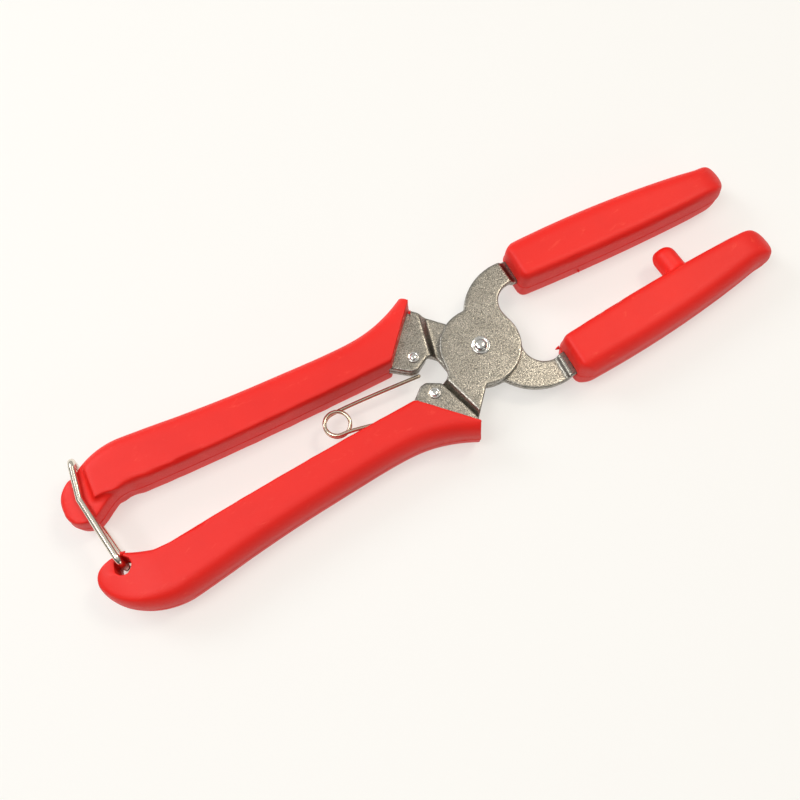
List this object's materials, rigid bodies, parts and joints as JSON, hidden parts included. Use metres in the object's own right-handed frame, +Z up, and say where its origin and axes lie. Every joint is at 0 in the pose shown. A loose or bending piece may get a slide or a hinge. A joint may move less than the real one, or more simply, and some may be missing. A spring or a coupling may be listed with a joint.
{
  "type": "spring-opened nipper pliers",
  "caption": "Hand nipper: two stamped levers on one rivet, with moulded grips, padded jaws, a jaw peg, a return spring and a swing-off wire latch.",
  "frame": {"origin": "centre of the bounding box, on the plane the tool lies on", "axes": "+X along the tool toward the jaws, +Y from the grip that carries the wire bail toward the other grip, +Z up out of the lever faces"},
  "size_m": [0.2084, 0.0477, 0.014],
  "materials": {
    "plated_steel": "satin nickel plating with a fine mottle",
    "bright_steel": "bright, slightly worn",
    "spring_wire": "bright drawn wire",
    "bail_wire": "bright drawn wire",
    "red_grip": "satin moulded plastic",
    "red_jaw": "satin moulded plastic"
  },
  "bodies": {
    "bail_side_lever": {"top_lever_plate": "plated_steel", "top_stiffener_plate": "plated_steel", "top_lever_rivet": "bright_steel", "bail_grip": "red_grip", "plain_jaw_cover": "red_jaw", "pivot_rivet": "bright_steel", "torsion_spring": "spring_wire"},
    "latched_side_lever": {"bottom_lever_plate": "plated_steel", "bottom_stiffener_plate": "plated_steel", "bottom_lever_rivet": "bright_steel", "latched_grip": "red_grip", "pegged_jaw_cover": "red_jaw"},
    "bail": {"latch_bail": "bail_wire"}
  },
  "joints": [
    {"name": "lever_pivot", "type": "hinge", "parent": "bail_side_lever", "child": "latched_side_lever", "pos_m": [0.01481, -0.0001, 0.007], "axis": [0, 0, 1], "range_deg": [0, 5], "stiffness_Nm_per_rad": 1.2, "springref_deg": -20.05, "deforming": ["torsion_spring"]},
    {"name": "bail_swing", "type": "hinge", "parent": "bail_side_lever", "child": "bail", "pos_m": [-0.09629, -0.0083, 0.007], "axis": [0, 0, 1], "range_deg": [0, 80]}
  ]
}
